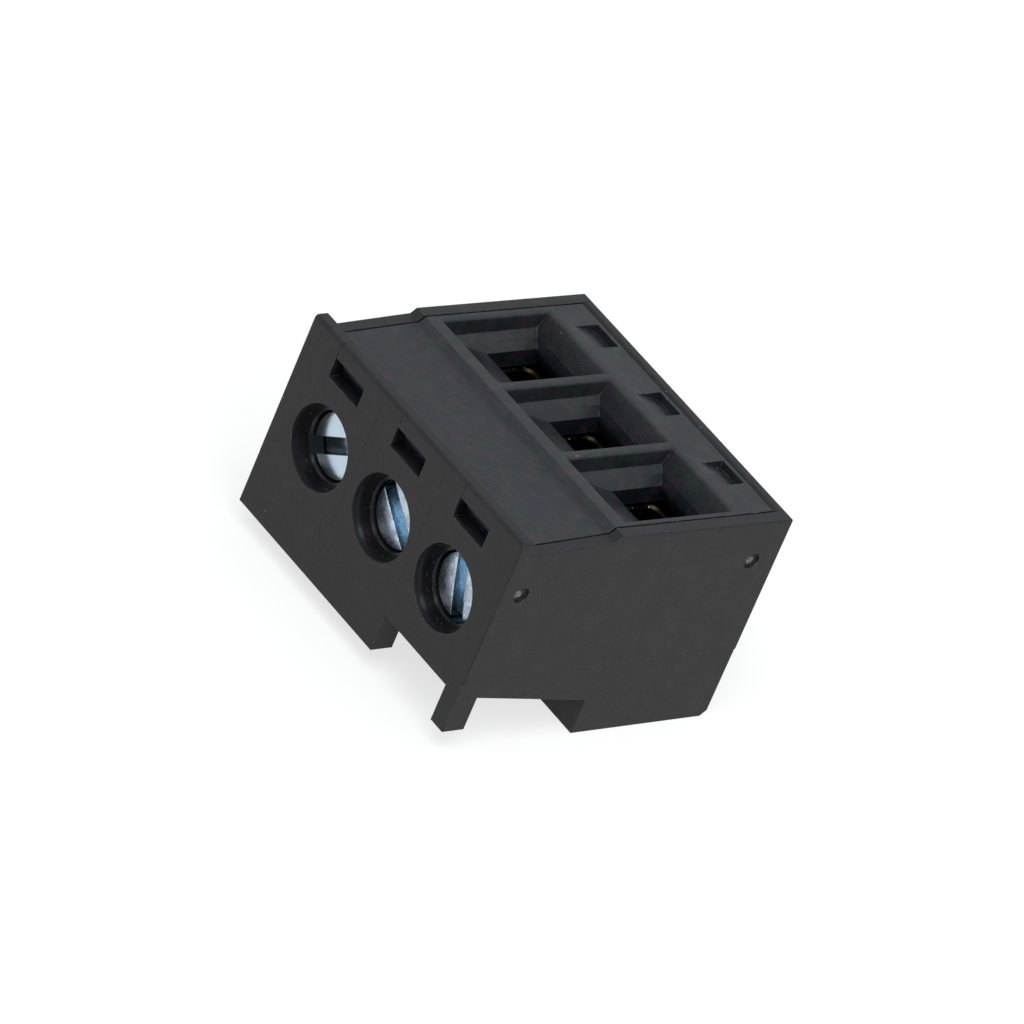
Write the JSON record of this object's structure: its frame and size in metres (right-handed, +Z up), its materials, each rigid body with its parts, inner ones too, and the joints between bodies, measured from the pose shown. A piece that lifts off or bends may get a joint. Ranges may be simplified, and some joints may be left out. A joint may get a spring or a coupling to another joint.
{
  "type": "pluggable terminal block",
  "caption": "Pluggable screw terminal block with wire funnels on top, recessed slotted clamp screws in front and a nose that takes header pins from below.",
  "frame": {"origin": "centre of the bounding box at its bottom, in the plane of the nose's foot", "axes": "+X along the row of poles, with the skirt's cut-out at the +X end; +Y from the screw face to the back; +Z up, towards the wire entries"},
  "size_m": [0.0168, 0.016, 0.0116],
  "materials": {
    "housing_plastic": "matte black moulded polyamide with a fine grain",
    "cover_plastic": "matte black moulded polyamide, slightly bluer and smoother",
    "zinc_plated_steel": "bright zinc plating with a blue passivation",
    "cage_brass": "plain drawn brass, slightly dull",
    "tinned_copper": "copper alloy strip with matt tin plating",
    "spring_bronze": "phosphor bronze strip, lightly tinned"
  },
  "bodies": {
    "block": {"housing": "housing_plastic", "wire_entry_cover": "cover_plastic", "current_bar_1": "tinned_copper", "current_bar_2": "tinned_copper", "current_bar_3": "tinned_copper", "pin_spring_1": "spring_bronze", "pin_spring_2": "spring_bronze", "pin_spring_3": "spring_bronze"},
    "screw_1": {"clamp_screw_1": "zinc_plated_steel"},
    "cage_1": {"clamp_cage_1": "cage_brass"},
    "screw_2": {"clamp_screw_2": "zinc_plated_steel"},
    "cage_2": {"clamp_cage_2": "cage_brass"},
    "screw_3": {"clamp_screw_3": "zinc_plated_steel"},
    "cage_3": {"clamp_cage_3": "cage_brass"}
  },
  "joints": [
    {"name": "screw_1_turn", "type": "hinge", "parent": "block", "child": "screw_1", "pos_m": [-0.00508, -0.007, 0.0066], "axis": [0, 1, 0], "range_deg": [0, 2160]},
    {"name": "cage_1_lift", "type": "slide", "parent": "block", "child": "cage_1", "axis": [0, -1, 0], "range_m": [0, 0.0027]},
    {"name": "screw_2_turn", "type": "hinge", "parent": "block", "child": "screw_2", "pos_m": [0, -0.007, 0.0066], "axis": [0, 1, 0], "range_deg": [0, 2160]},
    {"name": "cage_2_lift", "type": "slide", "parent": "block", "child": "cage_2", "axis": [0, -1, 0], "range_m": [0, 0.0027]},
    {"name": "screw_3_turn", "type": "hinge", "parent": "block", "child": "screw_3", "pos_m": [0.00508, -0.007, 0.0066], "axis": [0, 1, 0], "range_deg": [0, 2160]},
    {"name": "cage_3_lift", "type": "slide", "parent": "block", "child": "cage_3", "axis": [0, -1, 0], "range_m": [0, 0.0027]}
  ],
  "couplings": [
    {"joint": "screw_1_turn", "follows": "cage_1_lift", "rad_per_m": 13963},
    {"joint": "screw_2_turn", "follows": "cage_2_lift", "rad_per_m": 13963},
    {"joint": "screw_3_turn", "follows": "cage_3_lift", "rad_per_m": 13963}
  ]
}
